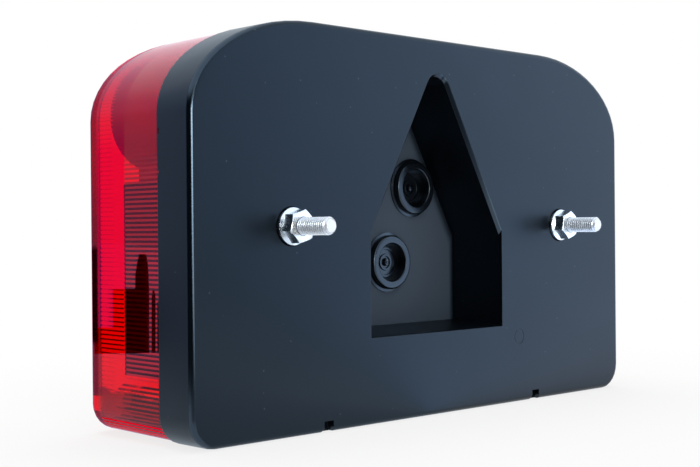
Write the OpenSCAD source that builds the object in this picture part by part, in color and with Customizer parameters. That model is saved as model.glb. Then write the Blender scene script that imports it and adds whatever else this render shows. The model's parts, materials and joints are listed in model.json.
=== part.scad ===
// Rear combination lamp for a trailer or a light vehicle, modelled from its mounting side.
// +X is the stop lamp end, +Y points to the vehicle, +Z is up.
// The origin lies midway between the two studs, on the plane of the flange nuts' outer faces.
// Inside the file, depths run forwards from the back face and heights run up from the bottom edge.

/* [Body] */
// Width of the lamp
body_w = 231; // [220:1:260]
// Height of the lamp
body_h = 140; // [136:1:160]
// Depth from the back face to the front of the lens
body_d = 61; // [60:0.5:72]
// Half width of each elliptical top corner
corner_a = 53; // [40:1:58]
// Height of each elliptical top corner
corner_b = 33; // [25:1:38]
// Radius of the bottom corners
base_r = 10; // [7:0.5:13]

/* [Housing] */
// Depth of the black side band, from the back face to the joint with the lens
band_d = 17; // [15:0.5:20]
// Thickness of the housing wall
wall = 2.5; // [2:0.1:3]
// Thickness of the back plate
back_wall = 2.5; // [2:0.1:3]
// Rounding of the edge round the back face
edge_r = 1.8; // [1:0.1:2.2]
// Width of the seal channel
channel_w = 2; // [1.6:0.1:2.6]
// Depth of the seal channel, from the joint with the lens
channel_d = 6; // [5:0.5:8]
// Thickness of the lip on the inner side of the seal channel
lip_t = 1.2; // [1:0.1:1.6]
// Distance of the drain notches from the middle
notch_x = 57.2; // [45:1:70]
// Width of a drain notch
notch_w = 4.4; // [3:0.2:7]
// Height of a drain notch
notch_h = 3.8; // [3:0.2:5]
// Depth of a drain notch into the edge
notch_d = 3.2; // [2.5:0.1:4]

/* [Cable recess] */
// Half width of the cable recess in the back face
recess_half = 36; // [30:0.5:37]
// Height of the floor side of the recess above the bottom edge
recess_base = 31.2; // [29:0.5:36]
// Height of the shoulders where the sloping sides start
recess_shoulder = 66.8; // [60:0.5:72]
// Height at which the two sloping sides would meet
recess_peak = 132; // [122:0.5:132]
// Radius of the rounded peak
recess_peak_r = 5.55; // [4:0.1:7]
// Depth of the recess
recess_d = 24.5; // [20:0.5:26]
// Wall thickness of the recess
recess_wall = 2.2; // [1.6:0.1:2.6]
// Inward draft of the recess sides at the floor
recess_draft = 1.4; // [0.6:0.1:2]
// Chamfer on the sloping edges
slope_chamfer = 1.3; // [0.5:0.1:1.6]
// Chamfer on the straight edges
edge_chamfer = 0.45; // [0.3:0.05:0.8]

/* [Studs and flange nuts] */
// Distance from the side of the lamp to a stud's axis
stud_gap = 41.9; // [39:0.1:46]
// Height of the studs above the bottom edge
stud_height = 70.5; // [66:0.5:74]
// Thread diameter of the studs
stud_thread = 6; // [5:0.5:6.5]
// Diameter of the reduced shank
stud_shank = 5.3; // [4.2:0.1:5.4]
// Length of the stud past the back face
stud_reach = 19.5; // [16:0.5:30]
// Chamfer at the tip of the stud
stud_tip = 0.9; // [0.4:0.1:1.2]
// Width across flats of the bolt heads and the flange nuts
hex_af = 10; // [9:0.5:11]
// Thickness of the bolt head
head_t = 4; // [3:0.5:4.5]
// Height of a flange nut
nut_h = 6; // [5:0.5:7]
// Diameter of the flange
flange_d = 12.6; // [12.4:0.2:14.2]
// Thickness of the flange at its edge
flange_edge = 1.2; // [0.8:0.1:1.6]

/* [Grommets] */
// Place of the lower cable grommet across the lamp
grommet_low_x = 3.4; // [-6:0.2:8]
// Height of the lower cable grommet
grommet_low_z = 56.6; // [50:0.2:58]
// Place of the upper cable grommet across the lamp
grommet_top_x = -10.3; // [-10.6:0.1:-5]
// Height of the upper cable grommet
grommet_top_z = 85.4; // [83.5:0.1:86]
// Diameter of the hole in the recess floor
grommet_hole = 16; // [14:0.5:16.5]
// Diameter of the foot that lies on the floor
grommet_foot = 22.8; // [21.5:0.2:23]
// Diameter of the raised ring
grommet_ring = 20.8; // [19:0.2:21]
// Diameter of the opening
grommet_open = 14.6; // [12:0.2:15]
// Height of the ring above the recess floor
grommet_h = 3.2; // [2.4:0.1:3.6]
// Thickness of the blind membrane
membrane_t = 1.2; // [0.8:0.1:1.6]

/* [Lens] */
// Thickness of the lens side wall outside its flutes
lens_wall = 2.1; // [1.8:0.1:2.6]
// Thickness of the lens front
lens_front = 2.5; // [2:0.1:3]
// Step from the housing side to the lens side
lens_step = 0.5; // [0.2:0.1:1]
// Draft of the lens side towards the front
lens_draft = 0.4; // [0:0.1:0.8]
// Rounding of the front edge
front_r = 5; // [3.5:0.5:6]
// Spacing of the flutes inside the side wall
flute_pitch = 1.6; // [1.4:0.1:3]
// Height of a flute
flute_h = 0.35; // [0.2:0.05:0.5]
// Distance from the lens front to the ends of the flutes
flute_gap = 7.4; // [5:0.2:9]
// Height of the thick rim that rests on the housing
rim_h = 2.4; // [2:0.1:3]
// Distance from the middle to the edge of the amber lens
amber_x = 40; // [38:1:44]
// Height of the top edge of the amber lens
amber_z = 86; // [84:1:88]

/* [Reflectors] */
// Distance from the lens front to the reflector rims
rim_gap = 8; // [7:0.5:10]
// Distance from the side of the lamp to the trough
trough_gap = 12.8; // [11:0.2:14]
// Distance from the recess wall to the trough
recess_gap = 3.8; // [3:0.1:6]
// Distance between the trough and the round bowl above it
bowl_clear = 4.5; // [4:0.5:7]
// Height of the trough above the bottom edge
trough_z = 19.5; // [18.5:0.5:22]
// Wall thickness of the reflectors
reflector_t = 1.8; // [1.4:0.1:2.2]
// Distance of the reflector seat in front of the back face
seat_d = 14; // [13.5:0.5:15]
// Outer radius of the round bowl
bowl_r = 18.5; // [17.5:0.5:19]
// Distance from the side of the lamp to the axis of the bowl
bowl_gap = 25.9; // [25:0.1:27]
// Distance from the top of the lamp to the axis of the bowl
bowl_drop = 31.5; // [31:0.5:34]
// Side of the square reflex reflector
reflex_w = 66; // [50:2:74]
// Thickness of the reflex reflector
reflex_t = 2.4; // [2:0.1:3]
// Spacing of the prisms on the reflex reflector
reflex_pitch = 8.2; // [6:0.2:10]

/* [Bulbs and holders] */
// Radius of the bulb caps
cap_r = 7.5; // [7:0.1:7.6]
// Bore radius of the bulb holders
holder_bore = 7.8; // [7.7:0.1:8]
// Outer radius of the bulb holders
holder_r = 9; // [8.6:0.1:9.2]
// Length of the holder sleeve
holder_l = 15; // [13:0.5:16]
// Glass radius of the large bulbs
main_glass = 12.5; // [11:0.5:13]
// Distance from the tip of a large bulb to the trough's outer wall
bulb_gap = 4.7; // [3:0.1:8]
// Glass radius of the small bulbs
tail_glass = 9.2; // [8.5:0.1:9.4]
// Length of the small bulbs
tail_l = 36; // [33:0.5:37]
// Thickness of the contact strips
strip_t = 0.8; // [0.6:0.1:1]

/* [Screws and terminal block] */
// Distance of the lower lens screws from the side of the lamp
low_screw_x = 17.5; // [16:0.5:20]
// Height of the lower lens screws
low_screw_z = 10.5; // [10:0.1:11]
// Distance of the upper lens screws from the axis of the bowl
top_screw_gap = 29.8; // [28:0.1:33]
// Distance of the upper lens screws from the top
top_screw_drop = 16; // [14:0.5:18]
// Radius of the lens screw posts
post_r = 5.5; // [5:0.1:5.6]
// Depth of the wells in the lens that hold the screw heads
well_d = 15; // [14:0.5:17]
// Shank diameter of the lens screws
lens_screw = 3.5; // [3:0.1:4]
// Shank diameter of the small screws
small_screw = 2.9; // [2.5:0.1:3.2]
// Height of the terminal block
block_h = 15; // [13:0.5:16]
// Depth of the terminal block
block_t = 16; // [15:0.5:18]
// Height of the terminal block above the bottom edge
block_z = 10; // [9:0.5:11]
// Spacing of the terminals
terminal_pitch = 12; // [11:0.5:13]

/* [Hidden] */
$fn = 48;

// Clearance round a shank, a plug or a tongue in its hole
fit = 0.1;
// Overshoot that makes a cut pass its face
over = 1;
black = [0.16, 0.2, 0.25];
rubber = [0.09, 0.1, 0.11];
zinc = [0.8, 0.83, 0.87];
brass = [0.78, 0.62, 0.3];
silver = [0.75, 0.76, 0.78];
red = [0.78, 0.04, 0.1];
amber = [0.95, 0.5, 0.05];
clear = [0.85, 0.9, 0.95];

half_w = body_w / 2;
top_segments = 14;
base_segments = 6;
edge_steps = 5;

stud_x = half_w - stud_gap;
stud_hole = stud_shank + 3 * fit;
stud_seat = 3.4;
boss_r = 9;
hex_r = hex_af / 2 / cos(30);
nut_turn_left = 99;
nut_turn_right = 104;
nut_slope = 0.9;
nut_entry = 0.6;

lip_inset = wall + channel_w;
lip_drop = 0.5;
cord_h = 2.4;
cord_gap = 0.15;
tongue_gap = 0.35;

// Depths of the pilot holes under the lens, reflector and terminal block screws
lens_pilot = 14;
pad_pilot = 8;
block_pilot = 9;

notch_foot = 1.5;
notch_splay = 1.2;
// Height and size of each pry mark in the rim on the stop lamp side
pry_marks = [[101.3, 1], [88.2, 0.7]];
eject_x = -46.7;
eject_z = 26;
eject_r = 3.1;
eject_line = 0.5;
eject_d = 0.08;

rim_y = body_d - rim_gap;
post_y = body_d - well_d;
well_r = 4.4;
well_floor = 2;

trough_wall = 2;
trough_out = half_w - trough_gap;
trough_in = recess_half + recess_wall + recess_gap;
trough_w = trough_out - trough_in;
trough_h = body_h - bowl_drop - bowl_r - bowl_clear - trough_z;
trough_axis_z = trough_z + trough_h / 2;
trough_r = trough_h / 2 - trough_wall;
trough_axis_y = seat_d + reflector_t + trough_r;
bowl_x = half_w - bowl_gap;
bowl_z = body_h - bowl_drop;
bowl_in = bowl_r - reflector_t;
bowl_throat = holder_r + 2 * fit;
core_gap = 0.6;
// The bowl's outer wall starts in front of the lens rim, so that both clear each other in the corner
skirt_y = band_d + rim_h + core_gap;

web_t = 1.8;
web_offsets = [-9.7, 6.9];
web_overlap = 1;
web_y = rim_y - 3;
web_rise = bowl_z - sqrt(pow(bowl_r, 2) - pow(web_offsets[0] + web_t / 2, 2)) - trough_z - trough_h;

pad_r = 4;
pad_boss = 0.6;
pad_inset = 10;
pad_offset = 11.8;
pad_x = [trough_in + pad_inset, bowl_x - pad_offset];
spot_r = 3.2;
spot_y = seat_d + reflector_t + pad_boss / 2;

main_axis_y = seat_d + reflector_t + main_glass + 3.5;
rivet_r = 1.5;
earth_offset = 8;
plug_r = 3;
plug_l = 3;
bayonet_slot = 2.6;
bayonet_run = 6;
pin_r = 0.9;
collar_t = 1.5;
collar_reach = 2.5;
tail_back = back_wall + strip_t;
tail_floor = 3.2;

main_l = trough_w - 2 * trough_wall - collar_t - plug_l / 2 - bulb_gap;
cap_l = 14;
cap_edge = 1;
glass_start = -52;

strip_w = 5;
tail_strip_w = 4;
strip_end = 3;
strip_z = block_z + 2;

block_half = trough_in - strip_t;
block_y = 20;
block_mid = block_z + block_h / 2;
block_post_x = 12;
block_post_r = 3.2;
block_pocket = 3;
terminals = 6;
entry_r = 1.7;
entry_d = 8;
clamp_r = 2.1;
clamp_h = 3;
clamp_hole = 2.4;
clamp_seat = 5;

lens_screw_l = 13;
lens_head_r = 3.6;
lens_head_h = 2.6;
reflector_screw_l = 8;
block_screw_l = 10;
small_head_r = 2.8;
small_head_h = 1.8;

// Moves from the heights and depths used below to the lamp's own frame
module in_lamp() translate([0, -nut_h, -stud_height]) children();

// Extrudes a front view between two depths
module slab(from, to) translate([0, -from, 0]) rotate([90, 0, 0]) linear_extrude(to - from) children();

// Turns a child's +Z to the front, on an axis at this place, starting at this depth
module forwards(x, z, depth) translate([x, -depth, z]) rotate([90, 0, 0]) children();

// Turns a child's +Z to the vehicle
module backwards(x, z, depth) translate([x, -depth, z]) rotate([-90, 0, 0]) children();

// A straight round bar between two depths
module bar(x, z, from, to, r) forwards(x, z, from) cylinder(h = to - from, r = r);

module mirrored() {
    children();
    mirror([1, 0, 0]) children();
}

// Points of one elliptical quarter, with half axes a and b, from an angle onwards
function quarter(cx, cz, a, b, start, steps) =
    [for (i = [0:steps]) let (w = start + 90 * i / steps) [cx + a * cos(w), cz + b * sin(w)]];

// The lamp's outline seen from the front, moved inwards by an inset
function outline(inset) = concat(
    quarter(half_w - corner_a, body_h - corner_b, corner_a - inset, corner_b - inset, 0, top_segments),
    quarter(corner_a - half_w, body_h - corner_b, corner_a - inset, corner_b - inset, 90, top_segments),
    quarter(base_r - half_w, base_r, base_r - inset, base_r - inset, 180, base_segments),
    quarter(half_w - base_r, base_r, base_r - inset, base_r - inset, 270, base_segments)
);

module ring_2d(outer, inner) difference() {
    polygon(outline(outer));
    polygon(outline(inner));
}

// Skins a stack of outlines with equal point counts, given as [depth, points]
module skin(rings) {
    count = len(rings[0][1]);
    last = len(rings) - 1;
    points = [for (ring = rings, p = ring[1]) [p[0], -ring[0], p[1]]];
    sides = [for (k = [0:last - 1], i = [0:count - 1], half = [0, 1])
        let (j = (i + 1) % count, a = k * count, b = a + count)
        half == 0 ? [a + i, b + j, a + j] : [a + i, b + i, b + j]];
    back_cap = [for (i = [0:count - 1]) i];
    front_cap = [for (i = [count - 1:-1:0]) last * count + i];
    polyhedron(points, concat([back_cap], sides, [front_cap]), convexity = 6);
}

// Rounded back edge, then the straight side band
module housing_block() {
    skin([for (i = [edge_steps:-1:0]) let (w = 90 * i / edge_steps)
        [edge_r * (1 - sin(w)), outline(edge_r * (1 - cos(w)))]]);
    slab(edge_r, band_d) polygon(outline(0));
}

// The recess outline, with its own inset for the straight and for the sloping sides
slope_angle = atan(recess_half / (recess_peak - recess_shoulder));
peak_steps = 8;
function house(side, slope) =
    let (
        centre_z = recess_peak - recess_peak_r / sin(slope_angle),
        x = recess_half - side,
        z = recess_peak - slope / sin(slope_angle) - x / tan(slope_angle),
        r = max(recess_peak_r - slope, 0.4)
    )
    concat(
        [[-x, recess_base + side], [x, recess_base + side], [x, z]],
        [for (i = [0:peak_steps]) let (w = slope_angle + (180 - 2 * slope_angle) * i / peak_steps)
            [r * cos(w), centre_z + r * sin(w)]],
        [[-x, z]]
    );

module recess_cut() skin([
    [-over, house(-edge_chamfer - over, -slope_chamfer - over)],
    [0, house(-edge_chamfer, -slope_chamfer)],
    [slope_chamfer, house(0, 0)],
    [recess_d, house(recess_draft, recess_draft)]
]);

// Room for a hexagonal head or nut
module hexagon(flats, turn = 0) rotate(turn) circle(r = flats / 2 / cos(30), $fn = 6);

lens_posts = [
    [half_w - low_screw_x, low_screw_z],
    [bowl_x - top_screw_gap, body_h - top_screw_drop]
];

module housing() color(black) in_lamp() difference() {
    union() {
        difference() {
            housing_block();
            slab(back_wall, band_d + over) polygon(outline(wall));
        }
        slab(back_wall - fit, band_d - channel_d) ring_2d(wall - fit, lip_inset + lip_t);
        slab(band_d - channel_d - fit, band_d - lip_drop) ring_2d(lip_inset, lip_inset + lip_t);
        slab(back_wall - fit, recess_d + recess_wall) polygon(house(-recess_wall, -recess_wall));
        mirrored() {
            for (p = lens_posts) bar(p[0], p[1], back_wall - fit, post_y, post_r);
            for (x = pad_x) bar(x, trough_axis_z, back_wall - fit, seat_d, pad_r);
            bar(stud_x, stud_height, back_wall - fit, stud_seat + head_t, boss_r);
            bar(block_post_x, block_mid, back_wall - fit, block_y, block_post_r);
        }
    }
    recess_cut();
    bar(grommet_low_x, grommet_low_z, recess_d - over, recess_d + recess_wall + over, grommet_hole / 2);
    bar(grommet_top_x, grommet_top_z, recess_d - over, recess_d + recess_wall + over, grommet_hole / 2);
    mirrored() {
        bar(stud_x, stud_height, -over, stud_seat + over, stud_hole / 2);
        forwards(stud_x, stud_height, stud_seat)
            linear_extrude(head_t + over) hexagon(hex_af + 2 * fit);
        for (p = lens_posts) bar(p[0], p[1], post_y - lens_pilot, post_y + over, lens_screw / 2 + fit);
        for (x = pad_x) bar(x, trough_axis_z, seat_d - pad_pilot, seat_d + over, small_screw / 2 + fit);
        bar(block_post_x, block_mid, block_y - block_pilot, block_y + over, small_screw / 2 + fit);
        drain_notch();
        edge_marks();
    }
    eject_mark();
}

// A notch in the bottom edge of the back face, splayed at its foot
module drain_notch() slab(-over, notch_d) polygon([
    [notch_x - notch_w / 2, notch_h],
    [notch_x - notch_w / 2, notch_foot],
    [notch_x - notch_w / 2 - notch_splay, -over],
    [notch_x + notch_w / 2 + notch_splay, -over],
    [notch_x + notch_w / 2, notch_foot],
    [notch_x + notch_w / 2, notch_h]
]);

// Two small pry marks in the rim at the joint with the lens
module edge_marks() {
    for (mark = pry_marks)
        translate([half_w - mark[1], -band_d - over, mark[0] - mark[1]])
            cube([mark[1] + over, mark[1] + over, 2 * mark[1]]);
}

// The faint ring that an ejector pin leaves
module eject_mark() forwards(eject_x, eject_z, -over) difference() {
    cylinder(h = over + eject_d, r = eject_r);
    cylinder(h = 2 * over, r = eject_r - eject_line);
}

// Blind grommet: foot, rounded ring, ribbed membrane with a nipple, neck and rear flange
module grommet(x, z) color(rubber) in_lamp() backwards(x, z, recess_d) rotate_extrude() grommet_profile();

neck_r = grommet_hole / 2 - fit;
ring_r = grommet_ring / 2;
open_r = grommet_open / 2;
ring_outer_round = 0.9;
ring_inner_round = 0.5;
round_steps = 4;
foot_t = 0.5;
foot_slope = 0.2;
rear_flange_t = 1.2;
rear_flange_w = 1.4;
tear_wall = 0.8;
membrane_top = membrane_t - recess_wall;
rib_h = 0.5;
rib_slope = 0.2;
rib_top = 0.7;
// Distance of each membrane rib from the wall of the opening
rib_places = [1.4, 4];
nipple_r = 1.6;
nipple_h = 1.5;
module grommet_profile() polygon(concat(
    [
        [0, -recess_wall],
        [open_r - tear_wall, -recess_wall],
        [open_r - tear_wall, -recess_wall - rear_flange_t],
        [neck_r + rear_flange_w, -recess_wall - rear_flange_t],
        [neck_r + rear_flange_w, -recess_wall],
        [neck_r, -recess_wall],
        [neck_r, 0],
        [grommet_foot / 2, 0],
        [grommet_foot / 2, foot_t],
        [ring_r, foot_t + foot_slope]
    ],
    [for (i = [0:round_steps]) let (w = 90 * i / round_steps) [
        ring_r - ring_outer_round * (1 - cos(w)),
        grommet_h - ring_outer_round * (1 - sin(w))
    ]],
    [for (i = [0:round_steps]) let (w = 90 * i / round_steps) [
        open_r + ring_inner_round * (1 - sin(w)),
        grommet_h - ring_inner_round * (1 - cos(w))
    ]],
    [[open_r, membrane_top]],
    [for (place = rib_places, step = [[0, 0], [rib_slope, rib_h], [rib_slope + rib_top, rib_h],
        [2 * rib_slope + rib_top, 0]]) [open_r - place - step[0], membrane_top + step[1]]],
    [
        [nipple_r, membrane_top],
        [nipple_r * 0.75, membrane_top + nipple_h * 0.85],
        [0, membrane_top + nipple_h]
    ]
));

// Hexagon-head bolt with a reduced shank: the thread's full diameter starts at the nut's face
module stud_bolt(side) color(zinc) in_lamp() {
    backwards(side * stud_x, stud_height, stud_seat + head_t) {
        linear_extrude(head_t) hexagon(hex_af);
        cylinder(h = head_t + stud_seat + nut_h, d = stud_shank);
        translate([0, 0, head_t + stud_seat + nut_h]) rotate_extrude() polygon([
            [0, 0],
            [stud_thread / 2, 0],
            [stud_thread / 2, stud_reach - nut_h - stud_tip],
            [stud_thread / 2 - stud_tip, stud_reach - nut_h],
            [0, stud_reach - nut_h]
        ]);
    }
}

// Hexagon nut with a flange, chamfered corners and a countersunk thread entry
module flange_nut(side, turn) color(zinc) in_lamp()
    backwards(side * stud_x, stud_height, 0) difference() {
        union() {
            cylinder(h = flange_edge, d = flange_d);
            translate([0, 0, flange_edge]) cylinder(h = nut_slope, d1 = flange_d, d2 = hex_af);
            intersection() {
                linear_extrude(nut_h) hexagon(hex_af, -turn);
                rotate_extrude() polygon([
                    [0, 0],
                    [hex_r + over, 0],
                    [hex_r + over, nut_h - (hex_r + over - hex_af / 2) * tan(30)],
                    [hex_af / 2 - fit, nut_h],
                    [0, nut_h]
                ]);
            }
        }
        translate([0, 0, -over]) cylinder(h = nut_h + 2 * over, r = stud_shank / 2 + fit / 2);
        translate([0, 0, nut_h - nut_entry])
            cylinder(h = nut_entry + fit, r1 = stud_shank / 2, r2 = stud_thread / 2 + 4 * fit);
    }

// Points along a straight side, stepping in and out by the flute height
function flute_side(x0, z0, x1, z1, nx, nz, inset) =
    let (length = norm([x1 - x0, z1 - z0]), n = 2 * round(length / flute_pitch))
    [for (i = [0:n - 1]) let (f = i / n, d = inset + (i % 2) * flute_h)
        [x0 + (x1 - x0) * f - nx * d, z0 + (z1 - z0) * f - nz * d]];

// The flutes fade out between these two angles of the top corners
fade_start = 28;
fade_end = 50;
function fade(w) = min(max((fade_end - w) / (fade_end - fade_start), 0), 1);

// Points round a corner, stepping in and out by the flute height
function flute_corner(cx, cz, a, b, start, inset) =
    let (length = 90 * PI / 180 * sqrt((a * a + b * b) / 2), n = 2 * round(length / flute_pitch))
    [for (i = [0:n - 1]) let (w = start + 90 * i / n, d = inset + (i % 2) * flute_h * fade(asin(sin(w))))
        [cx + (a - d) * cos(w), cz + (b - d) * sin(w)]];

// The inner face of the lens side wall: fluted at the ends and the bottom, smooth along the top
function fluted_outline(inset) = concat(
    flute_corner(half_w - corner_a, body_h - corner_b, corner_a, corner_b, 0, inset),
    [[half_w - corner_a, body_h - inset]],
    flute_corner(corner_a - half_w, body_h - corner_b, corner_a, corner_b, 90, inset),
    flute_side(-half_w, body_h - corner_b, -half_w, base_r, -1, 0, inset),
    flute_corner(base_r - half_w, base_r, base_r, base_r, 180, inset),
    flute_side(base_r - half_w, 0, half_w - base_r, 0, 0, -1, inset),
    flute_corner(half_w - base_r, base_r, base_r, base_r, 270, inset),
    flute_side(half_w, base_r, half_w, body_h - corner_b, 1, 0, inset)
);

lens_inset = lens_step + lens_wall;
// In front of the flutes the wall is thicker by their height and this much more
rim_extra = 0.3;
module lens_block() skin(concat(
    [[band_d, outline(lens_step)]],
    [for (i = [0:edge_steps]) let (w = 90 * i / edge_steps) [
        body_d - front_r * (1 - sin(w)),
        outline(lens_step + lens_draft + front_r * (1 - cos(w)))
    ]]
));

// The whole lens moulding, before it is divided by colour
module lens_shell() difference() {
    union() {
        difference() {
            lens_block();
            slab(band_d - over, body_d - flute_gap) polygon(fluted_outline(lens_inset));
            slab(body_d - flute_gap - over, body_d - lens_front)
                polygon(outline(lens_inset + flute_h + rim_extra));
        }
        slab(band_d, band_d + rim_h) ring_2d(lens_inset - fit, lip_inset - tongue_gap);
        slab(band_d - channel_d + cord_h, band_d + fit) ring_2d(wall + tongue_gap, lip_inset - tongue_gap);
        mirrored() for (p = lens_posts) bar(p[0], p[1], post_y, body_d - lens_front + fit, post_r);
    }
    mirrored() for (p = lens_posts) {
        bar(p[0], p[1], post_y + well_floor, body_d + over, well_r);
        bar(p[0], p[1], post_y - over, post_y + well_floor + over, lens_screw / 2 + 2 * fit);
    }
}

// The lower outer part of the front, where the indicator shines through
module amber_region() translate([-body_w, -body_d - over, -over])
    cube([body_w - amber_x, body_d + 2 * over, amber_z + over]);

module lens_red() color(red) in_lamp() difference() {
    lens_shell();
    amber_region();
}

module lens_amber() color(amber) in_lamp() intersection() {
    lens_shell();
    amber_region();
}

// Cord in the seal channel, pressed by the lens tongue
module gasket() color(rubber) in_lamp()
    slab(band_d - channel_d, band_d - channel_d + cord_h) ring_2d(wall + cord_gap, lip_inset - cord_gap);

// Square prism plate behind the middle of the lens
reflex_z = recess_base + 16;
reflex_back = body_d - lens_front - reflex_t;
groove_half = reflex_pitch * 0.45;
groove_d = 1.4;
module groove_2d() polygon([
    [-groove_half, over],
    [-groove_half, 0],
    [0, -groove_d],
    [groove_half, 0],
    [groove_half, over]
]);

module reflex_reflector() color(red) in_lamp() difference() {
    slab(reflex_back, body_d - lens_front)
        translate([-reflex_w / 2, reflex_z - reflex_w / 2]) square(reflex_w);
    grooves = floor(reflex_w / reflex_pitch);
    for (i = [0:grooves]) let (s = (i - grooves / 2) * reflex_pitch) {
        translate([s, -reflex_back, reflex_z - reflex_w]) linear_extrude(2 * reflex_w) groove_2d();
        translate([-reflex_w, -reflex_back, reflex_z + s]) rotate([90, 0, 90]) linear_extrude(2 * reflex_w)
            rotate(-90) groove_2d();
    }
}

// Pan-head screw with a cross recess, its head's seat at this depth
module pan_screw(x, z, depth, shank, length, head_r, head_h) {
    bar(x, z, depth - length, depth, shank / 2);
    difference() {
        forwards(x, z, depth) rotate_extrude() polygon([
            [0, 0],
            [head_r, 0],
            [head_r, head_h * 0.4],
            [head_r * 0.75, head_h * 0.85],
            [head_r * 0.4, head_h],
            [0, head_h]
        ]);
        for (turn = [0, 90]) forwards(x, z, depth + head_h * 0.45) rotate(turn)
            translate([-head_r / 2, -head_r / 10, 0]) cube([head_r, head_r / 5, head_h]);
    }
}

module lens_screws() color(zinc) in_lamp() mirrored()
    for (p = lens_posts)
        pan_screw(p[0], p[1], post_y + well_floor, lens_screw, lens_screw_l, lens_head_r, lens_head_h);

module reflector_screws() color(zinc) in_lamp() mirrored()
    for (x = pad_x)
        pan_screw(x, trough_axis_z, spot_y, small_screw, reflector_screw_l, small_head_r, small_head_h);

// Solid of the trough, before it is hollowed
module trough_box() slab(seat_d, rim_y) translate([trough_in, trough_z]) square([trough_w, trough_h]);

// A round bar across the trough
module trough_bar(r) translate([trough_in + trough_wall, -trough_axis_y, trough_axis_z])
    rotate([0, 90, 0]) cylinder(h = trough_w - 2 * trough_wall, r = r);

// The inside of the bowl: a throat for the holder, then a parabola out to the rim
bowl_steps = 8;
function bowl_curve(grow) = [for (i = [0:bowl_steps]) let (f = i / bowl_steps)
    [sqrt(pow(bowl_throat, 2) + (pow(bowl_in, 2) - pow(bowl_throat, 2)) * f) + grow,
        reflector_t + (rim_y - seat_d - reflector_t) * f]];

module bowl() forwards(bowl_x, bowl_z, seat_d) rotate_extrude() difference() {
    translate([bowl_throat, 0]) square([bowl_r - bowl_throat, rim_y - seat_d]);
    translate([bowl_in, -over]) square([bowl_r, skirt_y - seat_d + over]);
    polygon(concat([[0, -over], [bowl_throat, -over]], bowl_curve(0), [[bowl_in, body_d], [0, body_d]]));
    // Cored out from behind, between the bowl and its outer wall
    cored = [for (p = bowl_curve(reflector_t + core_gap)) if (p[0] < bowl_in - core_gap) p];
    polygon(concat(
        [[cored[0][0], -over]],
        cored,
        [[bowl_in, cored[len(cored) - 1][1]], [bowl_in, -over]]
    ));
}

// Trough and bowl, moulded as one and carried on the housing posts
module reflector() difference() {
    union() {
        difference() {
            trough_box();
            intersection() {
                trough_bar(trough_r);
                slab(seat_d, rim_y) translate([trough_in, trough_z]) square([trough_w, trough_h]);
            }
            slab(trough_axis_y, rim_y + over) translate([trough_in + trough_wall, trough_z + trough_wall])
                square([trough_w - 2 * trough_wall, trough_h - 2 * trough_wall]);
            difference() {
                slab(seat_d - over, trough_axis_y) translate([trough_in + trough_wall, trough_z + trough_wall])
                    square([trough_w - 2 * trough_wall, trough_h - 2 * trough_wall]);
                trough_bar(trough_r + reflector_t);
            }
        }
        for (x = pad_x) bar(x, trough_axis_z, seat_d, seat_d + reflector_t + pad_boss, pad_r);
        bowl();
        // Webs that join the trough to the bowl
        for (offset = web_offsets) slab(seat_d, web_y)
            translate([bowl_x + offset, trough_z + trough_h - web_overlap])
                square([web_t, web_rise + 2 * web_overlap]);
    }
    for (x = pad_x) {
        bar(x, trough_axis_z, seat_d - over, spot_y + over, small_screw / 2 + 2 * fit);
        bar(x, trough_axis_z, spot_y, trough_axis_y, spot_r);
    }
    for (y = [main_axis_y, main_axis_y - earth_offset]) translate([trough_in - over, -y, trough_axis_z])
        rotate([0, 90, 0]) cylinder(h = trough_wall + 2 * over, r = rivet_r + fit);
}

module reflector_left() color(silver) in_lamp() mirror([1, 0, 0]) reflector();
module reflector_right() color(silver) in_lamp() reflector();

// Sleeve of a bayonet holder, along +Z, with its contact plug and two slots
module holder_sleeve(floor_t) difference() {
    union() {
        difference() {
            cylinder(h = holder_l + floor_t, r = holder_r);
            translate([0, 0, floor_t]) cylinder(h = holder_l + over, r = holder_bore);
        }
        cylinder(h = floor_t + plug_l / 2, r = plug_r);
    }
    for (turn = [0, 180]) rotate(turn)
        translate([cap_r - over, -bayonet_slot / 2, floor_t + holder_l - bayonet_run])
            cube([holder_r - cap_r + 2 * over, bayonet_slot, bayonet_run + over]);
}

// Holder of a large bulb, riveted through the trough's inner wall
module main_holder() translate([trough_in + trough_wall, -main_axis_y, trough_axis_z]) rotate([0, 90, 0]) {
    holder_sleeve(collar_t);
    difference() {
        cylinder(h = collar_t, r = holder_r + collar_reach);
        cylinder(h = collar_t + over, r = holder_r - fit);
    }
    for (y = [0, earth_offset]) translate([0, y, -trough_wall]) cylinder(h = trough_wall + fit, r = rivet_r);
}

// Holder of a small bulb, standing on its contact strips and holding the bowl's throat
module tail_holder() forwards(bowl_x, bowl_z, tail_back) {
    holder_sleeve(tail_floor);
    translate([0, 0, seat_d - tail_back - collar_t]) difference() {
        cylinder(h = collar_t, r = holder_r + collar_reach);
        translate([0, 0, -over]) cylinder(h = collar_t + 2 * over, r = holder_r - fit);
    }
}

module bulb_holder_indicator() color(black) in_lamp() mirror([1, 0, 0]) main_holder();
module bulb_holder_stop() color(black) in_lamp() main_holder();
module bulb_holder_tail_left() color(black) in_lamp() mirror([1, 0, 0]) tail_holder();
module bulb_holder_tail_right() color(black) in_lamp() tail_holder();

// Bulb along +Z: metal cap with two bayonet pins, neck and round glass
bulb_steps = 10;
module bulb(glass, length) {
    rotate_extrude() polygon(concat(
        [
            [0, 0],
            [cap_r - cap_edge, 0],
            [cap_r, cap_edge],
            [cap_r, cap_l],
            [cap_r - cap_edge, cap_l + cap_edge]
        ],
        [for (i = [0:bulb_steps]) let (w = glass_start + (90 - glass_start) * i / bulb_steps)
            [max(glass * cos(w), 0), length - glass + glass * sin(w)]]
    ));
    for (turn = [0, 180]) rotate(turn) translate([cap_r - cap_edge / 2, 0, holder_l - plug_l])
        rotate([0, 90, 0]) cylinder(h = holder_r - cap_r, r = pin_r);
}

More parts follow.
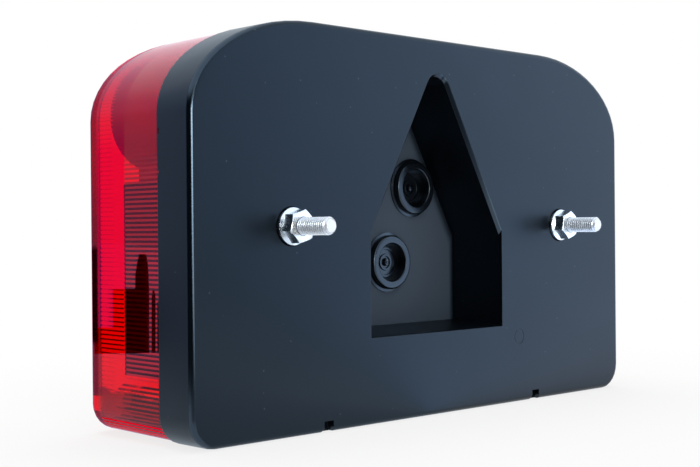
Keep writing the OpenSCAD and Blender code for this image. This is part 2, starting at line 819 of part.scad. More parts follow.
module main_bulb()
    translate([trough_in + trough_wall + collar_t + plug_l / 2, -main_axis_y, trough_axis_z])
        rotate([0, 90, 0]) bulb(main_glass, main_l);

module tail_bulb() forwards(bowl_x, bowl_z, tail_back + tail_floor + plug_l / 2) bulb(tail_glass, tail_l);

module bulb_indicator() color(amber) in_lamp() mirror([1, 0, 0]) main_bulb();
module bulb_stop() color(clear) in_lamp() main_bulb();
module bulb_tail_left() color(clear) in_lamp() mirror([1, 0, 0]) tail_bulb();
module bulb_tail_right() color(clear) in_lamp() tail_bulb();

// Two strips down the trough's inner wall, from the holder's rivets to the end of the block
module contact_strips() for (y = [main_axis_y, main_axis_y - earth_offset])
    translate([trough_in - strip_t, -y - strip_w / 2, strip_z])
        cube([strip_t, strip_w, trough_axis_z + strip_end - strip_z]);

// Two flat strips on the back plate, from the bowl's holder to the back of the block
tail_strip_gap = 3;
riser_places = [22, 31];
module tail_strips() for (k = [0, 1]) {
    leg_x = bowl_x + (k == 0 ? -tail_strip_gap / 2 - tail_strip_w : tail_strip_gap / 2);
    run_z = block_mid + (k == 0 ? tail_strip_w + tail_strip_gap : 0) - 1;
    riser_x = riser_places[k];
    slab(back_wall, back_wall + strip_t) {
        translate([leg_x, run_z]) square([tail_strip_w, bowl_z - run_z + strip_end]);
        translate([riser_x, run_z]) square([leg_x - riser_x + tail_strip_w, tail_strip_w]);
    }
    slab(back_wall + strip_t - fit, block_y) translate([riser_x, run_z]) square([strip_t, tail_strip_w]);
}

module contact_strips_left() color(brass) in_lamp() mirror([1, 0, 0]) contact_strips();
module contact_strips_right() color(brass) in_lamp() contact_strips();
module tail_strips_left() color(brass) in_lamp() mirror([1, 0, 0]) tail_strips();
module tail_strips_right() color(brass) in_lamp() tail_strips();

// Terminal block on two posts, with wire entries in its top and screws in its front
terminal_places = [for (i = [0:terminals - 1]) (i - (terminals - 1) / 2) * terminal_pitch];
block_front = block_y + block_t;
block_well_r = small_head_r + 2 * fit;
module terminal_block() color(black) in_lamp() difference() {
    slab(block_y, block_front) translate([-block_half, block_z]) square([2 * block_half, block_h]);
    for (x = terminal_places) {
        translate([x, -block_y - block_t / 2, block_z + block_h - entry_d])
            cylinder(h = entry_d + over, r = entry_r);
        bar(x, block_mid, block_front - clamp_seat, block_front + over, clamp_hole);
    }
    mirrored() {
        bar(block_post_x, block_mid, block_y - over, block_front, small_screw / 2 + 2 * fit);
        bar(block_post_x, block_mid, block_y + block_pocket, block_front + over, block_well_r);
    }
}

slot_w = 0.7;
module terminal_screws() color(zinc) in_lamp()
    for (x = terminal_places) forwards(x, block_mid, block_front - clamp_seat) difference() {
        cylinder(h = clamp_h, r = clamp_r);
        translate([-over - clamp_r, -slot_w / 2, clamp_h - over])
            cube([2 * clamp_r + 2 * over, slot_w, 2 * over]);
    }

module block_screws() color(zinc) in_lamp() mirrored()
    pan_screw(block_post_x, block_mid, block_y + block_pocket,
        small_screw, block_screw_l, small_head_r, small_head_h);

module grommet_lower() grommet(grommet_low_x, grommet_low_z);
module grommet_upper() grommet(grommet_top_x, grommet_top_z);
module stud_bolt_left() stud_bolt(-1);
module stud_bolt_right() stud_bolt(1);
module flange_nut_left() flange_nut(-1, nut_turn_left);
module flange_nut_right() flange_nut(1, nut_turn_right);

housing();
grommet_lower();
grommet_upper();
stud_bolt_left();
stud_bolt_right();
flange_nut_left();
flange_nut_right();
lens_red();
lens_amber();
reflex_reflector();
gasket();
lens_screws();
reflector_left();
reflector_right();
reflector_screws();
bulb_holder_indicator();
bulb_holder_stop();
bulb_holder_tail_left();
bulb_holder_tail_right();
bulb_indicator();
bulb_stop();
bulb_tail_left();
bulb_tail_right();
contact_strips_left();
contact_strips_right();
tail_strips_left();
tail_strips_right();
terminal_block();
terminal_screws();
block_screws();
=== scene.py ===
import json
import math

import bpy
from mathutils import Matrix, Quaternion, Vector


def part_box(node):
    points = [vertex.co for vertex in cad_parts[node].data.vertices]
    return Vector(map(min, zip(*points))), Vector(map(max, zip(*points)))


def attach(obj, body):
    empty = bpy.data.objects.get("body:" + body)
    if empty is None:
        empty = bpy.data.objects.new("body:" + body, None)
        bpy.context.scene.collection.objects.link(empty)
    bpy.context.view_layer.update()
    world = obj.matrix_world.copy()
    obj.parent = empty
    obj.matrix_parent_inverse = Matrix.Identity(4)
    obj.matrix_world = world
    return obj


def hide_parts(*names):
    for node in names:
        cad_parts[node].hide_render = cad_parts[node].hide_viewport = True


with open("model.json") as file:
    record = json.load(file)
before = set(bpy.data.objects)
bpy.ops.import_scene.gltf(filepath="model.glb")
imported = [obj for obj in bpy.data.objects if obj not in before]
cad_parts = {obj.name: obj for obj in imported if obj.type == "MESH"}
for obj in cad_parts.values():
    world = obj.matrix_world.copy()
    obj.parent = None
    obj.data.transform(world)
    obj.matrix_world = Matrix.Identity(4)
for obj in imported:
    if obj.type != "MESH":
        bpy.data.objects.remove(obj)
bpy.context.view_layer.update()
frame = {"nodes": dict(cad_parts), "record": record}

MM = 0.001

# Places taken from the frame, in metres
HOUSING_LOW, HOUSING_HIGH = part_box("housing")
LENS_LOW, LENS_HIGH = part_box("lens_red")
BACK_Y = HOUSING_HIGH.y
FLOOR_Z = HOUSING_LOW.z

# Camera, fitted to the photograph
CAMERA_PLACE = (0.3506, 0.3095, -0.0013)
CAMERA_AZIMUTH = 136.06
CAMERA_PITCH = 0.17
CAMERA_ROLL = -0.47
CAMERA_LENS = 64.74

# The cable recess: the depth past which a face that looks back is its floor, the place of the side wall,
# the slope beside the floor as a direction and an offset, and the half width and the foot of its mouth
RECESS_DEEP = 10.0 * MM
RECESS_SIDE = 34.6 * MM
SLOPE_DIRECTION = (0.8755, 0.4833)
SLOPE_OFFSET = 28.3 * MM
MOUTH_HALF = 39.0 * MM
MOUTH_FOOT = -42.0 * MM

# The lamp's outline, as (across, up) from the origin: centre and half axes of a top corner, and a bottom
# corner. The lens's side wall lies a little inside it.
TOP_CENTRE = (62.5 * MM, 36.5 * MM)
TOP_AXES = (53.0 * MM, 33.0 * MM)
BASE_CENTRE = (105.5 * MM, -60.5 * MM)
BASE_R = 10.0 * MM

# The ribs that are drawn on the lens: their spacing and the depths between which they show. The real flutes
# come out about 1.59 mm apart, so they do not line up with these. The trough stands behind the lens wall up
# to the depth CLEAR_FROM.
RIB_PITCH = 1.541 * MM
RIB_BACK = 17.1 * MM
RIB_FRONT = 53.5 * MM
CLEAR_FROM = 36.6 * MM
ACRYLIC_IOR = 1.49

# Shares of the outline's half axes: the lens's inner face lies between the INNER_FACE two, and its outer
# face past OUTER_FACE
INNER_FACE = (0.9, 0.97)
OUTER_FACE = 0.975

# The reflectors: the trough's inside from, to, low and high, and the bowl's axis and inner radius
TROUGH = (43.5 * MM, 101.5 * MM, -49.5 * MM, 13.5 * MM)
BOWL = (89.6 * MM, 38.0 * MM, 17.5 * MM)
# The heights over which the bare moulding turns from painted shade to painted light
BOWL_FOOT = (15.0 * MM, 17.0 * MM)

# Studs: M6 thread from the nuts' outer faces to the tips
THREAD_R = 3.0 * MM
THREAD_PITCH = 1.0 * MM
THREAD_ROOT = 2.42 * MM
THREAD_STEPS = 48
SHANK_R = 2.65 * MM
HEAD_H = 4.0 * MM
HEAD_R = 5.0 * MM / math.cos(math.radians(30))
HEAD_BEVEL = 0.35 * MM
TIP_BEVEL = 0.9 * MM
STUD_X = 73.6 * MM
STUD_TIP = 13.5 * MM
# Radii of the painted shadow that rings each flange on the housing
FLANGE_SHADOW_RADII = (6.55 * MM, 6.85 * MM)

WHITE = (1.0, 1.0, 1.0, 1.0)


class Tree:
    """Short calls for building a node tree."""

    def __init__(self, tree):
        self.tree = tree
        tree.nodes.clear()

    def add(self, kind, values=None, **settings):
        node = self.tree.nodes.new(kind)
        for name, value in settings.items():
            setattr(node, name, value)
        for key, value in (values or {}).items():
            socket = node.inputs[key]
            if isinstance(value, bpy.types.NodeSocket):
                self.tree.links.new(value, socket)
            else:
                socket.default_value = value
        return node

    def math(self, operation, a, b=0.0):
        return self.add("ShaderNodeMath", {0: a, 1: b}, operation=operation).outputs[0]

    def plus(self, a, b):
        return self.math("ADD", a, b)

    def minus(self, a, b):
        return self.math("SUBTRACT", a, b)

    def times(self, first, *others):
        for other in others:
            first = self.math("MULTIPLY", first, other)
        return first

    def size(self, value):
        return self.math("ABSOLUTE", value)

    def over(self, value, limit):
        """1 where value is over the limit, and 0 elsewhere."""
        return self.math("GREATER_THAN", value, limit)

    def under(self, value, limit):
        """1 where value is under the limit, and 0 elsewhere."""
        return self.math("LESS_THAN", value, limit)

    def distance(self, a, b):
        """How far the point a, b lies from 0, 0."""
        return self.math("SQRT", self.plus(self.times(a, a), self.times(b, b)))

    def ramp(self, value, low, high, to_low=0.0, to_high=1.0, smooth=True):
        """value from low to high, mapped to to_low to to_high."""
        kind = "SMOOTHSTEP" if smooth else "LINEAR"
        inputs = {"Value": value, "From Min": low, "From Max": high, "To Min": to_low, "To Max": to_high}
        return self.add("ShaderNodeMapRange", inputs, interpolation_type=kind).outputs["Result"]

    def vector(self, operation, a, b=None):
        inputs = {0: a} if b is None else {0: a, 1: b}
        outputs = self.add("ShaderNodeVectorMath", inputs, operation=operation).outputs
        return outputs["Value" if operation in ("DOT_PRODUCT", "LENGTH") else "Vector"]

    def scaled(self, vector, factor):
        return self.add("ShaderNodeVectorMath", {0: vector, 3: factor}, operation="SCALE").outputs["Vector"]

    def place(self):
        """The point in the row frame: every object sits at the origin."""
        return self.add("ShaderNodeTexCoord").outputs["Object"]

    def normal(self):
        return self.add("ShaderNodeNewGeometry").outputs["Normal"]

    def split(self, vector):
        return self.add("ShaderNodeSeparateXYZ", {0: vector}).outputs

    def noise(self, scale, detail):
        inputs = {"Vector": self.place(), "Scale": scale, "Detail": detail}
        return self.add("ShaderNodeTexNoise", inputs).outputs["Fac"]

    def bump(self, height, distance, strength, normal=None):
        inputs = {"Height": height, "Distance": distance, "Strength": strength}
        if normal is not None:
            inputs["Normal"] = normal
        return self.add("ShaderNodeBump", inputs).outputs["Normal"]

    def mix_colour(self, share, a, b):
        return self.add("ShaderNodeMix", {0: share, 6: a, 7: b}, data_type="RGBA").outputs[2]

    def mix_value(self, share, a, b):
        return self.add("ShaderNodeMix", {0: share, 2: a, 3: b}, data_type="FLOAT").outputs[0]

    def gloss(self, colour, roughness, **more):
        inputs = {"Color": colour, "Roughness": roughness, **more}
        return self.add("ShaderNodeBsdfAnisotropic", inputs).outputs[0]

    def emission(self, colour):
        return self.add("ShaderNodeEmission", {"Color": colour, "Strength": 1.0}).outputs[0]

    def blend(self, share, a, b):
        """The shader a where share is 0, and b where it is 1."""
        return self.add("ShaderNodeMixShader", {0: share, 1: a, 2: b}).outputs[0]

    def plainly_seen(self):
        """1 for rays that look straight at the background or through clear parts,
        less after a mirroring there."""
        path = self.add("ShaderNodeLightPath").outputs
        straight = self.under(path["Glossy Depth"], 0.5)
        through = self.times(path["Is Transmission Ray"], self.mix_value(straight, 0.85, 1.0))
        return self.math("MAXIMUM", path["Is Camera Ray"], through)

    def gloss_only(self):
        """1 for rays that a gloss or a metal sent on."""
        glossy = self.add("ShaderNodeLightPath").outputs["Is Glossy Ray"]
        return self.times(glossy, self.minus(1.0, self.plainly_seen()))

    def finish(self, shader):
        self.add("ShaderNodeOutputMaterial", {"Surface": shader})


def new_material(name):
    material = bpy.data.materials.new(name)
    material.use_nodes = True
    return material, Tree(material.node_tree)


def principled(material, t, inputs):
    """Ends a material with one Principled shader."""
    t.finish(t.add("ShaderNodeBsdfPrincipled", inputs).outputs[0])
    return material


def from_stud(t, x, up):
    """The distance from the axis of the nearer stud."""
    return t.distance(t.minus(t.size(x), STUD_X), up)


def moulded_black():
    """Black moulded plastic: satin on the flats, polished where the mould's edges are rounded,
    and matt on the floor of the cable recess."""
    material, t = new_material("housing_plastic")
    grain = t.noise(2600.0, 3.0)
    patches = t.noise(38.0, 4.0)
    normal = t.split(t.normal())
    tilt = t.times(t.size(normal[0]), t.size(normal[1]))
    rounded = t.ramp(tilt, 0.06, 0.25)
    sunk = t.under(t.split(t.place())[1], BACK_Y - RECESS_DEEP)
    matt = t.times(sunk, t.over(normal[1], 0.9))
    satin = t.ramp(patches, 0.3, 0.7, 0.31, 0.36)
    rough = t.minus(satin, t.times(rounded, 0.22))
    cells = t.add("ShaderNodeTexVoronoi", {"Vector": t.place(), "Scale": 160.0}).outputs
    dust = t.ramp(cells["Distance"], 0.03, 0.06)
    colour = t.mix_colour(dust, (0.05, 0.06, 0.07, 1.0), (0.0012, 0.0022, 0.0036, 1.0))
    # Painted shadow: the floor of the recess darkens towards the wall at the -X end and its slope
    x, y, up = t.split(t.place())
    to_side = t.plus(x, RECESS_SIDE)
    to_slope = t.minus(t.times(x, SLOPE_DIRECTION[0]), t.times(up, SLOPE_DIRECTION[1]))
    to_slope = t.plus(to_slope, SLOPE_OFFSET)
    shadow = t.ramp(t.math("MINIMUM", to_side, t.times(to_slope, 0.6)), 0.0, 2.6 * MM)
    floor_colour = t.mix_colour(shadow, (0.006, 0.009, 0.013, 1.0), (0.070, 0.092, 0.122, 1.0))
    colour = t.mix_colour(matt, colour, floor_colour)
    # Painted shadow: a dark line round each flange, drawn by taking away the housing's gloss there
    ring = t.ramp(from_stud(t, x, up), *FLANGE_SHADOW_RADII, 1.0, 0.0)
    # The recess's walls and the broad chamfer of its mouth are duller than the rest
    mouth = t.times(t.under(t.size(x), MOUTH_HALF), t.over(up, MOUTH_FOOT))
    mouth = t.times(mouth, t.under(y, BACK_Y - 0.3 * MM))
    gloss = t.mix_value(mouth, t.mix_value(rounded, 0.38, 0.95), 0.45)
    edges = t.add("ShaderNodeBevel", {"Radius": 0.3 * MM}, samples=6).outputs[0]
    inputs = {
        "Base Color": colour,
        "Roughness": t.mix_value(matt, rough, 0.6),
        "Specular IOR Level": t.mix_value(ring, t.mix_value(matt, gloss, 0.2), 0.0),
        "Specular Tint": (0.62, 0.80, 1.0, 1.0),
        "Normal": t.bump(grain, 0.018 * MM, t.mix_value(rounded, 0.25, 0.9), edges),
    }
    return principled(material, t, inputs)


def rubber():
    material, t = new_material("grommet_rubber")
    grain = t.noise(3200.0, 2.0)
    inputs = {
        "Base Color": (0.0015, 0.002, 0.003, 1.0),
        "Roughness": t.ramp(grain, 0.3, 0.7, 0.20, 0.27),
        "Specular IOR Level": 0.62,
        "Specular Tint": (0.74, 0.87, 1.0, 1.0),
        "Normal": t.bump(grain, 0.01 * MM, 0.4),
    }
    return principled(material, t, inputs)


def zinc_plate():
    """Bright zinc plating, faintly blue on the sides. The faces that look along +Y get a painted warm tint
    against the blue they mirror, and the thread roots get painted shade.
    """
    material, t = new_material("zinc_plate")
    clouds = t.noise(420.0, 3.0)
    x, y, z = t.split(t.place())
    radius = from_stud(t, x, z)
    outside_nut = -0.5 * MM
    # Painted shade: the thread roots are coloured darker
    root = t.ramp(radius, THREAD_ROOT + 0.2 * MM, THREAD_R - 0.04 * MM, 1.0, 0.0)
    root = t.times(root, t.over(y, outside_nut), t.under(y, STUD_TIP - TIP_BEVEL))
    colour = t.mix_colour(t.ramp(clouds, 0.35, 0.65), (0.86, 0.90, 0.95, 1.0), (0.93, 0.95, 0.97, 1.0))
    # Painted: a warm tint on the faces that look along +Y, against the blue light that they mirror
    end_face = t.ramp(t.split(t.normal())[1], 0.9, 0.97)
    colour = t.mix_colour(end_face, colour, (1.0, 0.94, 0.87, 1.0))
    colour = t.mix_colour(root, colour, (0.66, 0.72, 0.80, 1.0))
    thread = t.times(t.under(radius, THREAD_R + 0.2 * MM), t.over(y, outside_nut))
    inputs = {
        "Base Color": colour,
        "Metallic": t.mix_value(thread, 1.0, 0.4),
        "Roughness": t.ramp(clouds, 0.3, 0.7, 0.20, 0.30),
        "Normal": t.bump(t.noise(1800.0, 2.0), 0.01 * MM, 0.3),
    }
    return principled(material, t, inputs)


def ellipse_frame(t):
    """For a point near the lens side wall: its outward direction, its place along the wall in metres
    from the middle height, its share of the outline's half axes, its angle in the top corner, and its y."""
    x, y, z = t.split(t.place())
    side = t.size(x)
    over_corner = t.math("MAXIMUM", t.minus(side, TOP_CENTRE[0]), 0.0)
    up = t.math("MAXIMUM", t.minus(z, TOP_CENTRE[1]), 0.0)
    over_base = t.math("MAXIMUM", t.minus(side, BASE_CENTRE[0]), 0.01 * MM)
    down = t.math("MINIMUM", t.minus(z, BASE_CENTRE[1]), 0.0)
    a = t.math("DIVIDE", over_corner, TOP_AXES[0])
    b = t.math("DIVIDE", up, TOP_AXES[1])
    share = t.distance(a, b)
    angle = t.math("ARCTAN2", b, a)
    base_angle = t.math("ARCTAN2", down, over_base)
    middle = t.math("MINIMUM", t.math("MAXIMUM", z, BASE_CENTRE[1]), TOP_CENTRE[1])
    along = t.plus(middle, t.times(angle, sum(TOP_AXES) / 2))
    along = t.plus(along, t.times(base_angle, BASE_R))
    high = t.over(z, 0.0)
    out_x = t.mix_value(high, over_base, t.math("DIVIDE", a, TOP_AXES[0]))
    out_x = t.times(out_x, t.math("SIGN", x))
    out_z = t.mix_value(high, down, t.math("DIVIDE", b, TOP_AXES[1]))
    outward = t.add("ShaderNodeCombineXYZ", {0: out_x, 1: 0.0, 2: out_z}).outputs[0]
    return t.vector("NORMALIZE", outward), along, share, angle, y


def tinted_lens(name, tint, lamp_tint, veil, front_veil, prism_tint):
    """Clear tinted acrylic. The gleam of the flutes is drawn here as ribs at RIB_PITCH, by the place along
    the wall, and the real flutes under it are shaded flat: a rib turns light round as a mirror does.
    The veils are painted tints of the reflections, by place: they colour what the gloss mirrors. A ramp that
    ends in 1.0, 0.0 falls.
    Rays from lamps pass straight through the lens, so that what is behind it is lit."""
    material, t = new_material(name)
    outward, along, share, angle, y = ellipse_frame(t)
    depth = t.minus(BACK_Y, y)
    height = t.split(t.place())[2]
    normal = t.normal()
    facing = t.vector("DOT_PRODUCT", normal, outward)
    flat = t.scaled(outward, t.math("SIGN", facing))
    inside = t.times(t.under(share, INNER_FACE[1]), t.over(share, INNER_FACE[0]))
    ribbed = t.times(t.over(depth, RIB_BACK), t.under(depth, RIB_FRONT))
    upright = t.under(t.size(t.split(normal)[1]), 0.3)
    mask = t.times(inside, ribbed, upright)
    smoothed = t.add("ShaderNodeMix", {0: mask, 4: normal, 5: flat}, data_type="VECTOR").outputs[1]

    # Painted reflection tints: what colours the gloss on the middle, the top and the foot of the wall
    front = t.ramp(depth, CLEAR_FROM - 0.5 * MM, CLEAR_FROM + 0.5 * MM)
    middle = t.times(
        t.ramp(height, -42.0 * MM, -36.0 * MM),
        t.ramp(height, 24.0 * MM, 44.0 * MM, 1.0, 0.0),
    )
    veil = t.mix_colour(t.times(front, middle), veil, front_veil)
    high = t.ramp(t.minus(height, t.times(front, 9.0 * MM)), 36.0 * MM, 54.0 * MM)
    veil = t.mix_colour(high, veil, (1.0, 0.8, 0.84, 1.0))
    veil = t.mix_colour(t.ramp(height, -46.0 * MM, -38.0 * MM, 1.0, 0.0), veil, (0.9, 0.5, 0.58, 1.0))

    # Painted shade: the front rim and the bottom corner are darkened, with blotchy edges, for the long way of
    # tinted acrylic through which they are seen edge on
    side_wall = t.under(t.size(t.split(normal)[1]), 0.92)
    rim = t.times(t.ramp(depth, 53.0 * MM, 54.4 * MM), side_wall)
    blotch = t.times(t.minus(t.noise(90.0, 3.0), 0.5), 12.0 * MM)
    low = t.ramp(t.plus(height, blotch), -56.0 * MM, -55.0 * MM, 1.0, 0.0)
    low = t.times(low, side_wall, 0.72)
    # A painted lit spot: the rim is left undarkened 60 mm below the middle
    lit_spot = t.ramp(t.size(t.plus(height, 60.0 * MM)), 2.2 * MM, 2.8 * MM, 1.0, 0.0)
    edge_on_shade = t.math("MAXIMUM", rim, low)
    edge_on_shade = t.times(edge_on_shade, t.minus(1.0, t.times(rim, lit_spot)))

    # A painted black line, which stands for a dark reflection, on the rim of the stop lamp end, and a painted
    # reflection tint of its own on the other half of the lens.
    # The veils change at x = 0, which leaves a seam across the top of the lens.
    stop_end = t.over(t.split(t.place())[0], 0.0)
    black_rim = t.ramp(t.size(t.plus(height, 23.0 * MM)), 15.0 * MM, 18.0 * MM, 1.0, 0.0)
    black_rim = t.times(rim, black_rim)
    black_rim = t.times(black_rim, t.over(share, OUTER_FACE), stop_end)
    veil = t.mix_colour(side_wall, (1.0, 0.45, 0.42, 1.0), veil)
    veil = t.mix_colour(stop_end, (1.0, 0.42, 0.45, 1.0), veil)
    veil = t.mix_colour(rim, veil, (0.9, 0.25, 0.4, 1.0))
    veil = t.mix_colour(black_rim, veil, (0.10, 0.0, 0.01, 1.0))

    # The colour of the acrylic, with painted shade: darker towards the top, darker at the rim and the bottom
    # corner, and near black on the painted black line
    shade = t.ramp(height, -5.0 * MM, 25.0 * MM, 0.42, 0.6)
    top_shade = t.ramp(height, 35.0 * MM, 60.0 * MM, 1.0, 0.85)
    body = t.mix_colour(edge_on_shade, t.scaled(tint[:3], top_shade), t.scaled(tint[:3], shade))
    body = t.mix_colour(black_rim, body, [c * 0.03 for c in tint[:3]] + [1.0])
    inputs = {"Color": body, "Roughness": 0.012, "IOR": ACRYLIC_IOR, "Normal": smoothed}
    inner = t.add("ShaderNodeBsdfRefraction", inputs).outputs[0]
    mirrored = t.add("ShaderNodeFresnel", {"IOR": ACRYLIC_IOR, "Normal": smoothed}).outputs[0]
    glass = t.blend(mirrored, inner, t.gloss(veil, 0.03, Normal=smoothed))

    # A rib's profile, wide and narrow, and where ribs may show
    phase = t.math("FRACT", t.math("DIVIDE", along, RIB_PITCH))
    ridge = t.size(t.minus(phase, 0.5))
    wide = t.ramp(ridge, 0.29, 0.19)
    narrow = t.ramp(ridge, 0.21, 0.12)
    low_ribs = t.ramp(height, 14.0 * MM, 30.0 * MM, 1.0, 0.0)
    below = t.ramp(height, -50.4 * MM, -49.4 * MM, 1.0, 0.0)

    # In front of the trough the ribs show in the outer gloss
    before_trough = t.minus(1.0, t.math("MAXIMUM", front, below))
    outside = t.times(t.over(share, OUTER_FACE), t.times(ribbed, upright))
    outer_ribs = t.times(t.times(wide, low_ribs), t.times(outside, before_trough))
    sheen = t.gloss([c * 0.76 + 0.05 for c in prism_tint[:3]] + [1.0], 0.015)

    # Elsewhere they show at the inside, where light from the front turns round in them
    clear = t.math("MAXIMUM", t.ramp(depth, CLEAR_FROM + 2.1 * MM, CLEAR_FROM + 2.7 * MM), below)
    ribs = t.mix_value(t.times(clear, t.minus(1.0, below)), wide, narrow)
    front_ribs = t.times(t.ramp(angle, 0.75, 1.0, 1.0, 0.0), t.ramp(depth, 44.0 * MM, 46.0 * MM))
    ribs = t.times(ribs, t.math("MAXIMUM", low_ribs, front_ribs))
    ribs = t.times(ribs, clear, mask)
    far_front = t.ramp(depth, 43.0 * MM, 47.0 * MM)
    prism_colour = t.mix_colour(far_front, prism_tint, [c * 0.86 for c in prism_tint[:3]] + [1.0])
    lens = t.blend(ribs, glass, t.gloss(prism_colour, 0.08, Normal=flat))
    lens = t.blend(outer_ribs, lens, sheen)

    passing = t.add("ShaderNodeBsdfTransparent", {"Color": lamp_tint}).outputs[0]
    to_lamps = t.add("ShaderNodeLightPath").outputs["Is Shadow Ray"]
    t.finish(t.blend(to_lamps, lens, passing))
    return material


def metallised():
    """Bright metal film inside the trough and the bowl, bare moulding outside, painted dark as shade on the
    trough and grey as light on the bowl.
    """
    material, t = new_material("reflector_film")
    x, y, z = t.split(t.place())
    side = t.size(x)
    in_trough = t.times(
        t.times(t.over(side, TROUGH[0]), t.under(side, TROUGH[1])),
        t.times(t.over(z, TROUGH[2]), t.under(z, TROUGH[3])),
    )
    off_axis = t.distance(t.minus(side, BOWL[0]), t.minus(z, BOWL[1]))
    film = t.math("MAXIMUM", in_trough, t.under(off_axis, BOWL[2]))
    clouds = t.noise(120.0, 3.0)
    # Painted shade and light: the bare moulding is dark with no gloss below the bowl's foot and grey above it
    bare = t.mix_colour(t.ramp(z, *BOWL_FOOT), (0.014, 0.012, 0.013, 1.0), (0.42, 0.42, 0.44, 1.0))
    inputs = {
        "Base Color": t.mix_colour(film, bare, (0.80, 0.81, 0.83, 1.0)),
        "Metallic": film,
        "Specular IOR Level": t.mix_value(film, t.ramp(z, *BOWL_FOOT, 0.0, 0.5), 0.5),
        "Roughness": t.mix_value(film, 0.45, t.ramp(clouds, 0.3, 0.7, 0.08, 0.14)),
    }
    return principled(material, t, inputs)


def plain(name, colour, roughness, metallic=0.0):
    material, t = new_material(name)
    speckle = t.noise(900.0, 2.0)
    inputs = {
        "Base Color": colour,
        "Metallic": metallic,
        "Roughness": t.ramp(speckle, 0.3, 0.7, roughness * 0.9, roughness * 1.1),
        "Normal": t.bump(speckle, 0.01 * MM, 0.3),
    }
    return principled(material, t, inputs)


def reflex_prisms():
    """Red acrylic with the small cube corners of a reflex reflector."""
    material, t = new_material("reflex_prisms")
    inputs = {"Vector": t.place(), "Scale": 420.0, "Randomness": 0.12}
    cells = t.add("ShaderNodeTexVoronoi", inputs).outputs
    glint = t.ramp(t.split(cells["Color"])[0], 0.2, 0.8)
    inputs = {
        "Base Color": t.mix_colour(glint, (0.62, 0.005, 0.02, 1.0), (0.95, 0.02, 0.04, 1.0)),
        "Metallic": 0.4,
        "Roughness": 0.25,
        "Normal": t.bump(cells["Distance"], 0.5 * MM, 0.8),
    }
    return principled(material, t, inputs)


MATERIALS = {
    "housing": moulded_black(),
    "grommet": rubber(),
    "zinc": zinc_plate(),
    "lens_red": tinted_lens(
        "lens_red_acrylic",
        tint=(0.975, 0.0, 0.05, 1.0),
        lamp_tint=(0.8, 0.0, 0.0, 1.0),
        veil=(0.85, 0.5, 0.72, 1.0),
        front_veil=(1.0, 0.08, 0.6, 1.0),
        prism_tint=(1.0, 0.0, 0.015, 1.0),
    ),
    "lens_amber": tinted_lens(
        "lens_amber_acrylic",
        tint=(0.975, 0.5, 0.0, 1.0),
        lamp_tint=(0.8, 0.2, 0.0, 1.0),
        veil=(1.0, 0.9, 0.8, 1.0),
        front_veil=(1.0, 0.9, 0.8, 1.0),
        prism_tint=(0.95, 0.3, 0.0, 1.0),
    ),
    "reflector": metallised(),
    "holder": plain("holder_plastic", (0.03, 0.03, 0.033, 1.0), 0.45),
    "bulb_amber": plain("bulb_amber_glass", (0.8, 0.3, 0.03, 1.0), 0.1),
    "bulb_clear": plain("bulb_clear_glass", (0.6, 0.6, 0.6, 1.0), 0.1),
    "brass": plain("strip_brass", (0.75, 0.56, 0.25, 1.0), 0.3, 1.0),
}


def node_group(name):
    """An empty geometry node group with an angle input: the group and the input's key."""
    group = bpy.data.node_groups.new(name, "GeometryNodeTree")
    group.interface.new_socket("Geometry", in_out="INPUT", socket_type="NodeSocketGeometry")
    angle = group.interface.new_socket("Angle", in_out="INPUT", socket_type="NodeSocketFloat")
    group.interface.new_socket("Geometry", in_out="OUTPUT", socket_type="NodeSocketGeometry")
    return group, angle.identifier


def welding_group():
    """Merges the split vertices of a CAD mesh and drops its stored normals. It makes no use of the angle."""
    group, angle = node_group("weld")
    t = Tree(group)
    source = t.add("NodeGroupInput").outputs[0]
    inputs = {"Geometry": source, "Name": "custom_normal"}
    bare = t.add("GeometryNodeRemoveAttribute", inputs).outputs[0]
    inputs = {"Geometry": bare, "Distance": 0.001 * MM}
    merged = t.add("GeometryNodeMergeByDistance", inputs).outputs[0]
    t.add("NodeGroupOutput", {0: merged})
    return group, angle


def shading_group():
    """Shades a mesh smooth, apart from the edges that are sharper than the angle."""
    group, angle = node_group("smooth_by_angle")
    t = Tree(group)
    source = t.add("NodeGroupInput").outputs
    inputs = {"Geometry": source[0], "Shade Smooth": True}
    faces = t.add("GeometryNodeSetShadeSmooth", inputs, domain="FACE").outputs[0]
    edge_angle = t.add("GeometryNodeInputMeshEdgeAngle").outputs[0]
    inputs = {0: edge_angle, 1: source[1]}
    soft = t.add("FunctionNodeCompare", inputs, operation="LESS_THAN").outputs[0]
    inputs = {"Geometry": faces, "Shade Smooth": soft}
    edges = t.add("GeometryNodeSetShadeSmooth", inputs, domain="EDGE").outputs[0]
    t.add("NodeGroupOutput", {0: edges})
    return group, angle


WELDING = welding_group()
SHADING = shading_group()


def node_modifier(piece, name, group, degrees):
    modifier = piece.modifiers.new(name, "NODES")
    modifier.node_group = group[0]
    modifier[group[1]] = math.radians(degrees)


def soften(piece, degrees, bevel=0.0):
    """Welds a mesh, gives its sharp edges a bevel of this width where there is one, and shades it smooth
    below this angle."""
    node_modifier(piece, "weld", WELDING, degrees)
    if bevel:
        rounding = piece.modifiers.new("rounding", "BEVEL")
        rounding.width = bevel
        rounding.segments = 2
        rounding.limit_method = "ANGLE"
        rounding.angle_limit = math.radians(25.0)
    node_modifier(piece, "shade", SHADING, degrees)
    flats = piece.modifiers.new("flat_faces", "WEIGHTED_NORMAL")
    flats.keep_sharp = True


NODE_ANGLE = 32.0
THREAD_ANGLE = 40.0
